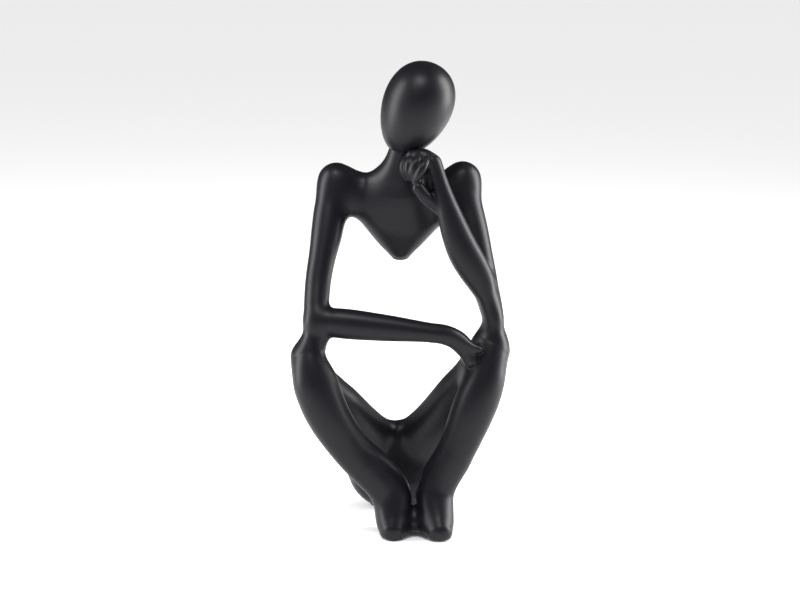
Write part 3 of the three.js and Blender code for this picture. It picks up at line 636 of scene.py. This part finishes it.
def slope_of(form, p):
    """The field at points and its slope, from four probes round each"""
    values = [form.field(p + probe * PROBE_REACH) for probe in PROBES]
    slope = sum(value[:, None] * probe for value, probe in zip(values, PROBES)) / (4 * PROBE_REACH)
    return sum(values) / 4, slope


def bring_onto(form, p, reach):
    """Moves points onto the surface of a form, by no more than a reach"""
    level, slope = slope_of(form, p)
    move = -slope * (level / np.maximum(LEAST_SLOPE, (slope**2).sum(1)))[:, None]
    size = np.linalg.norm(move, axis=1, keepdims=True)
    return p + move * np.minimum(1, reach / np.maximum(size, TINY))


def skin_of(form, cell):
    """Corners and faces of a form's surface, found in three rounds of finer and finer grids

    The first round looks at every fourth point of the grid, and each later one only near the surface.
    """
    coarse, coarse_margin, fine_margin = 4, 1.1, 1.8
    wide = coarse * cell
    low = form.bounds[0] - wide
    size = np.ceil((form.bounds[1] + wide - low) / wide).astype(int) * coarse + 1
    axes = [np.arange(0, n, coarse) for n in size]
    spots = np.stack(np.meshgrid(*axes, indexing="ij"), -1).reshape(-1, 3)
    found = form.field(low + spots * cell)
    values = found.reshape([len(steps) for steps in axes])
    for axis in range(3):
        values = np.repeat(values, coarse, axis)
    values = values[: size[0], : size[1], : size[2]]
    values = np.where(values < 0, -wide, wide).astype(np.float32)
    near = spots[np.abs(found) < wide * coarse_margin]
    for block in (2, 1):
        offsets = np.stack(np.meshgrid(*[(-block, 0, block)] * 3, indexing="ij"), -1).reshape(-1, 3)
        spots = (near[:, None] + offsets).reshape(-1, 3)
        spots = spots[((spots >= 0) & (spots < size)).all(1)]
        keys = np.unique(np.ravel_multi_index(spots.T, size))
        spots = np.stack(np.unravel_index(keys, size), 1)
        found = form.field(low + spots * cell)
        values.flat[keys] = found
        near = spots[np.abs(found) < block * cell * fine_margin]
    grid = openvdb.FloatGrid(wide)
    grid.copyFromArray(np.clip(values, -wide, wide))
    points, quads = grid.convertToQuads()
    return points * cell + low, quads


def smooth_skin(form, cell):
    """A form's surface, smoothed and brought back onto the form a few times"""
    points, quads = skin_of(form, cell)
    mesh = bpy.data.meshes.new("skin")
    mesh.from_pydata(bring_onto(form, points, cell), [], quads)
    bm = bmesh.new()
    bm.from_mesh(mesh)
    bpy.data.meshes.remove(mesh)

    def bring_back():
        for v, co in zip(bm.verts, bring_onto(form, corners_of(bm.verts), cell)):
            v.co = co

    for _ in range(SMOOTHINGS):
        bmesh.ops.smooth_vert(
            bm, verts=bm.verts, factor=0.5, use_axis_x=True, use_axis_y=True, use_axis_z=True
        )
        bring_back()
    bring_back()
    bmesh.ops.recalc_face_normals(bm, faces=bm.faces)
    return bm


def cut_where(bm, value):
    """Splits the faces that a value crosses, along the line where it is nought"""
    bm.verts.ensure_lookup_table()
    level = dict(zip(bm.verts, value(corners_of(bm.verts))))
    crossed = [e for e in bm.edges if level[e.verts[0]] * level[e.verts[1]] < 0]
    fresh = []
    for edge in crossed:
        a, b = edge.verts
        share = level[a] / (level[a] - level[b])
        fresh.append(bmesh.utils.edge_split(edge, a, share)[1])
    bmesh.ops.connect_verts(bm, verts=fresh, check_degenerate=False)


def take_off(bm, gone):
    faces = [f for f, g in zip(bm.faces[:], gone) if g]
    bmesh.ops.delete(bm, geom=faces, context="FACES")


def cut_away(bm, value):
    """Takes off the skin where a value is negative"""
    cut_where(bm, value)
    middles = np.array([f.calc_center_median() for f in bm.faces])
    take_off(bm, value(middles) < 0)


def close_up(bm):
    """Closes each open rim with a fan of faces, and returns those faces"""
    rims = [e for e in bm.edges if e.is_boundary]
    caps = bmesh.ops.holes_fill(bm, edges=rims, sides=0)["faces"]
    fans = bmesh.ops.poke(bm, faces=[f for f in caps if len(f.verts) > 4])["faces"]
    return set(fans) | {f for f in caps if f.is_valid}


def finish_mesh(bm, name, form=None, caps=()):
    """Makes an object of a mesh. Where a form is given, its slope gives the normals of all but the caps."""
    bm.normal_update()
    for f in bm.faces:
        f.smooth = f not in caps
    mesh = bpy.data.meshes.new(name)
    bm.to_mesh(mesh)
    bm.free()
    if form is not None:
        normals = slope_of(form, corners_of(mesh.vertices))[1]
        normals /= np.linalg.norm(normals, axis=1, keepdims=True)
        owner = np.empty(len(mesh.loops), int)
        mesh.loops.foreach_get("vertex_index", owner)
        faces = mesh.polygons
        smooth = np.repeat([f.use_smooth for f in faces], [f.loop_total for f in faces])
        corners = np.zeros((len(mesh.loops), 3))
        corners[smooth] = normals[owner[smooth]]
        mesh.normals_split_custom_set(corners)
    piece = bpy.data.objects.new(name, mesh)
    bpy.context.scene.collection.objects.link(piece)
    return piece


def settle(piece, node, material):
    """Puts a piece into the frame in place of a CAD node"""
    piece.data.materials.append(material)
    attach(piece, "root")
    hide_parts(node)


# Materials


# Where a Mix node that mixes colours keeps its factor, its two colours and its result
MIX_FACTOR, MIX_FIRST, MIX_SECOND, MIX_RESULT = 0, 6, 7, 2


class Socket:
    """A shader socket that takes part in expressions"""

    def __init__(self, tree, link):
        self.tree, self.link = tree, link

    def _math(self, operation, *values):
        return self.tree.node("ShaderNodeMath", {"operation": operation}, dict(enumerate(values)))

    def __add__(self, other):
        return self._math("ADD", self, other)

    def __sub__(self, other):
        return self._math("SUBTRACT", self, other)

    def __rsub__(self, other):
        return self._math("SUBTRACT", other, self)

    def __mul__(self, other):
        return self._math("MULTIPLY", self, other)

    __radd__, __rmul__ = __add__, __mul__


class Tree:
    """The nodes of one material or world"""

    def __init__(self, owner, shader="Principled BSDF"):
        owner.use_nodes = True
        self.owner = owner
        self.nodes = owner.node_tree.nodes
        self.links = owner.node_tree.links
        self.shader = self.nodes[shader]

    def node(self, kind, settings=None, values=None, output=0):
        """Adds a node, and returns one of its outputs"""
        node = self.nodes.new(kind)
        for key, value in (settings or {}).items():
            setattr(node, key, value)
        self.fill(node, values or {})
        return Socket(self, node.outputs[output])

    def fill(self, node, values):
        for key, value in values.items():
            if isinstance(value, Socket):
                self.links.new(value.link, node.inputs[key])
            else:
                node.inputs[key].default_value = value

    def noise(self, size, detail=2.0, roughness=0.5):
        """Soft random values from 0 to 1, whose blobs are about the size given"""
        place = self.node("ShaderNodeTexCoord", output="Object")
        values = {"Vector": place, "Scale": 1 / size, "Detail": detail, "Roughness": roughness}
        return self.node("ShaderNodeTexNoise", None, values)

    def tint(self, amount, dark, light):
        values = {MIX_FACTOR: amount, MIX_FIRST: (*dark, 1), MIX_SECOND: (*light, 1)}
        return self.node("ShaderNodeMix", {"data_type": "RGBA"}, values, MIX_RESULT)

    def bump(self, height, depth, strength):
        return self.node("ShaderNodeBump", None, {"Height": height, "Distance": depth, "Strength": strength})


def scaled(colour_values, by):
    return tuple(min(1, value * by) for value in colour_values)


def satin_paint(finish):
    """Sprayed satin black over cast resin: a faint orange peel, and a sheen that varies a little"""
    tree = Tree(bpy.data.materials.new("satin_paint"))
    clouds = tree.noise(34 * MM, 3)
    peel = tree.noise(0.9 * MM, 2)
    waves = tree.noise(7 * MM, 1)
    dark, light = scaled(finish.paint, 0.85), scaled(finish.paint, 1.15)
    tree.fill(
        tree.shader,
        {
            "Base Color": tree.tint(clouds, dark, light),
            "Roughness": finish.gloss - 0.04 + clouds * 0.05 + peel * 0.03,
            "Normal": tree.bump(peel * 0.7 + waves * 0.3, 0.02 * MM, 0.5),
            "Specular IOR Level": 0.18,
        },
    )
    return tree.owner


def castings_paint(finish):
    """The one satin paint that all castings share"""
    return bpy.data.materials.get("satin_paint") or satin_paint(finish)


def pressed_felt(finish):
    """Pressed black felt: short fibres in all directions"""
    tree = Tree(bpy.data.materials.new("pressed_felt"))
    fibres = tree.noise(0.35 * MM, 6, 0.75)
    clumps = tree.noise(2.2 * MM, 3)
    dark, light = scaled(finish.felt, 0.5), scaled(finish.felt, 2.2)
    tree.fill(
        tree.shader,
        {
            "Base Color": tree.tint(fibres * 0.7 + clumps * 0.3, dark, light),
            "Roughness": 0.9 + fibres * 0.1,
            "Sheen Weight": 0.4,
            "Normal": tree.bump(fibres, 0.2 * MM, 0.8),
        },
    )
    return tree.owner


def drawn_steel():
    """Plain drawn bar, with fine scratches"""
    tree = Tree(bpy.data.materials.new("drawn_steel"))
    scratches = tree.noise(0.3 * MM, 4, 0.7)
    dark, light = (0.50, 0.51, 0.52), (0.62, 0.63, 0.64)
    tree.fill(
        tree.shader,
        {
            "Base Color": tree.tint(scratches, dark, light),
            "Metallic": 1.0,
            "Roughness": 0.28 + scratches * 0.14,
        },
    )
    return tree.owner


def floor_paint(finish):
    """The matt pale floor of the studio"""
    tree = Tree(bpy.data.materials.new("floor"))
    grain = tree.noise(0.4, 2)
    colours = scaled(finish.floor, 0.99), finish.floor
    tree.fill(tree.shader, {"Base Color": tree.tint(grain, *colours), "Roughness": 0.7})
    return tree.owner


# The pieces


class FIGURE_OT_castings(bpy.types.Operator):
    """Model the torso, arms, pelvis and legs as one flowing skin, parted at the casting seams"""

    bl_idname = "figure.castings"
    bl_label = "Castings"

    def execute(self, context):
        finish = context.scene.figure_finish
        body, head = figure_of(context.scene)
        bm = smooth_skin(body.form, finish.fineness * (1))
        cut_away(bm, head.field)
        cut_away(bm, lambda p: p[:, 2] - body.floor)
        sides = body.waist_side, body.prop_side, body.hand_side, body.pelvis_side, body.feet_side
        for side in sides:
            cut_where(bm, side)
        whole = bpy.data.meshes.new("whole")
        bm.to_mesh(whole)
        bm.free()
        p = np.array([f.center for f in whole.polygons])
        lower, prop, hand, pelvis, right = (side(p) < 0 for side in sides)
        pieces = {
            "left_forearm": ~lower & prop,
            "right_forearm": ~lower & hand & ~prop,
            "torso": ~lower & ~prop & ~hand,
            "pelvis": lower & pelvis,
            "right_leg": lower & ~pelvis & right,
            "left_leg": lower & ~pelvis & ~right,
        }
        paint = castings_paint(finish)
        for node, kept in pieces.items():
            bm = bmesh.new()
            bm.from_mesh(whole)
            take_off(bm, ~kept)
            caps = close_up(bm)
            bmesh.ops.recalc_face_normals(bm, faces=bm.faces)
            piece = finish_mesh(bm, "cast_" + node, body.form, caps)
            settle(piece, node, paint)
        bpy.data.meshes.remove(whole)
        return {"FINISHED"}


class FIGURE_OT_head(bpy.types.Operator):
    """Model the egg head"""

    bl_idname = "figure.head"
    bl_label = "Head"

    def execute(self, context):
        head = figure_of(context.scene)[1]
        bm = bmesh.new()
        bmesh.ops.create_icosphere(bm, subdivisions=6, radius=1)
        for v in bm.verts:
            v.co = head.shape(v.co.normalized())
        bmesh.ops.transform(bm, matrix=head.place, verts=bm.verts)
        piece = finish_mesh(bm, "cast_head")
        settle(piece, "head", castings_paint(context.scene.figure_finish))
        return {"FINISHED"}


class FIGURE_OT_pads(bpy.types.Operator):
    """Model the felt pads under the seat and the feet"""

    bl_idname = "figure.pads"
    bl_label = "Felt pads"
    edge = 0.25 * MM

    def pad_of(self, node):
        """An oval disc with rounded edges that fills the box of a CAD pad"""
        low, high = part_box(node)
        size = high - low
        bm = bmesh.new()
        bmesh.ops.create_circle(bm, cap_ends=True, segments=72, radius=0.5)
        bmesh.ops.scale(bm, vec=(size.x, size.y, 1), verts=bm.verts)
        bmesh.ops.translate(bm, vec=((low.x + high.x) / 2, (low.y + high.y) / 2, low.z), verts=bm.verts)
        top = bmesh.ops.extrude_face_region(bm, geom=bm.faces[:])["geom"]
        raised = [g for g in top if isinstance(g, bmesh.types.BMVert)]
        bmesh.ops.translate(bm, vec=(0, 0, size.z), verts=raised)
        rims = [e for e in bm.edges if abs(e.verts[0].co.z - e.verts[1].co.z) < TINY]
        bmesh.ops.bevel(
            bm, geom=rims, offset=self.edge, affect="EDGES", segments=3, profile=0.5, material=-1
        )
        bmesh.ops.recalc_face_normals(bm, faces=bm.faces)
        return finish_mesh(bm, "felt_" + node)

    def execute(self, context):
        felt = pressed_felt(context.scene.figure_finish)
        for node in ("seat_pad", "right_foot_pad", "left_foot_pad"):
            settle(self.pad_of(node), node, felt)
        return {"FINISHED"}


class FIGURE_OT_pins(bpy.types.Operator):
    """Give the steel pins inside the joints their finish"""

    bl_idname = "figure.pins"
    bl_label = "Steel pins"

    def execute(self, context):
        steel = drawn_steel()
        for name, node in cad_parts.items():
            if name.endswith("_pin"):
                node.data.materials.clear()
                node.data.materials.append(steel)
        return {"FINISHED"}


# The stage


FLOOR_HALF_WIDTH = 60
# Degrees from the front to the figure's left, degrees up, width and height in metres, and watts
SOFTBOXES = {
    "softbox_left": (96, 14, 0.5, 1.2, 32),
    "softbox_right": (-92, 14, 0.4, 1.2, 20),
    "softbox_above": (-18, 62, 0.4, 0.3, 6),
}
SOFTBOX_DISTANCE = 1.0
SOFTBOX_AIM = Vector((0, -0.02, 0.13))
# The strength of the world's even light, and as much of it as gloss reflects
WORLD_LIGHT, WORLD_SHINE = 1.0, 0.06
# Where the photograph's camera stands and looks, in degrees and metres, and how many of its 800 pixels
# a metre takes up at the figure
CAMERA_AZIMUTH, CAMERA_ELEVATION, CAMERA_DISTANCE = -5, 9.5, 1.25
CAMERA_AIM = Vector((0, -0.008, 0.125))
PHOTO_WIDTH, PIXELS_PER_METRE, SENSOR_WIDTH = 800, 1772, 36


def stand_facing(aim, azimuth, elevation, distance):
    """Where a lamp or camera stands to face an aim. Azimuths go from the front to the figure's left."""
    azimuth, elevation = math.radians(azimuth), math.radians(elevation)
    way = Vector(
        (
            math.sin(azimuth) * math.cos(elevation),
            -math.cos(azimuth) * math.cos(elevation),
            math.sin(elevation),
        )
    )
    return Matrix.Translation(aim + way * distance) @ way.to_track_quat("Z", "Y").to_matrix().to_4x4()


class FIGURE_OT_stage(bpy.types.Operator):
    """Set up the pale floor, the soft lights and the camera"""

    bl_idname = "figure.stage"
    bl_label = "Stage"

    def lay_floor(self, scene):
        bm = bmesh.new()
        bmesh.ops.create_grid(bm, x_segments=1, y_segments=1, size=FLOOR_HALF_WIDTH)
        floor = finish_mesh(bm, "floor")
        floor.data.materials.append(floor_paint(scene.figure_finish))

    def light_up(self, scene, shift):
        world = Tree(bpy.data.worlds.new("studio"), "Background")
        glossy = world.node("ShaderNodeLightPath", output="Is Glossy Ray")
        strength = WORLD_LIGHT - glossy * (WORLD_LIGHT - WORLD_SHINE)
        world.fill(world.shader, {"Color": (1, 1, 1, 1), "Strength": strength})
        scene.world = world.owner
        for name, (azimuth, elevation, width, height, power) in SOFTBOXES.items():
            light = bpy.data.lights.new(name, "AREA")
            light.shape = "RECTANGLE"
            light.size, light.size_y = width, height
            light.energy = power
            lamp = bpy.data.objects.new(name, light)
            lamp.matrix_world = stand_facing(shift + SOFTBOX_AIM, azimuth, elevation, SOFTBOX_DISTANCE)
            scene.collection.objects.link(lamp)

    def place_camera(self, scene, shift):
        camera = bpy.data.objects.new("camera", bpy.data.cameras.new("camera"))
        camera.data.sensor_width = SENSOR_WIDTH
        camera.data.lens = PIXELS_PER_METRE * CAMERA_DISTANCE / PHOTO_WIDTH * SENSOR_WIDTH
        aim = shift + CAMERA_AIM
        camera.matrix_world = stand_facing(aim, CAMERA_AZIMUTH, CAMERA_ELEVATION, CAMERA_DISTANCE)
        scene.collection.objects.link(camera)
        scene.camera = camera
        scene.view_settings.view_transform = "Standard"

    def execute(self, context):
        shift = Vector(origin_shift())
        self.lay_floor(context.scene)
        self.light_up(context.scene, shift)
        self.place_camera(context.scene, shift)
        return {"FINISHED"}


# The panel and the classes


class FIGURE_PT_panel(bpy.types.Panel):
    """Sizes, colours and steps of the figure"""

    bl_idname = "FIGURE_PT_panel"
    bl_label = "Thinker Figure"
    bl_space_type = "VIEW_3D"
    bl_region_type = "UI"
    bl_category = "Figure"

    def draw(self, context):
        for title, group in GROUPS.items():
            box = self.layout.box()
            box.label(text=group.__doc__)
            settings = getattr(context.scene, title)
            for name in group.__annotations__:
                box.prop(settings, name)
        for operator in OPERATORS:
            self.layout.operator(operator.bl_idname)


GROUPS = {"figure_pose": FigurePose, "figure_girths": FigureGirths, "figure_finish": FigureFinish}
OPERATORS = (FIGURE_OT_castings, FIGURE_OT_head, FIGURE_OT_pads, FIGURE_OT_pins, FIGURE_OT_stage)


def register():
    for group in GROUPS.values():
        bpy.utils.register_class(group)
    for title, group in GROUPS.items():
        setattr(bpy.types.Scene, title, PointerProperty(type=group))
    for operator in OPERATORS:
        bpy.utils.register_class(operator)
    bpy.utils.register_class(FIGURE_PT_panel)


def unregister():
    bpy.utils.unregister_class(FIGURE_PT_panel)
    for operator in reversed(OPERATORS):
        bpy.utils.unregister_class(operator)
    for title, group in GROUPS.items():
        delattr(bpy.types.Scene, title)
        bpy.utils.unregister_class(group)


def main():
    register()
    bpy.ops.figure.castings()
    bpy.ops.figure.head()
    bpy.ops.figure.pads()
    bpy.ops.figure.pins()
    bpy.ops.figure.stage()


if __name__ == "__main__":
    main()
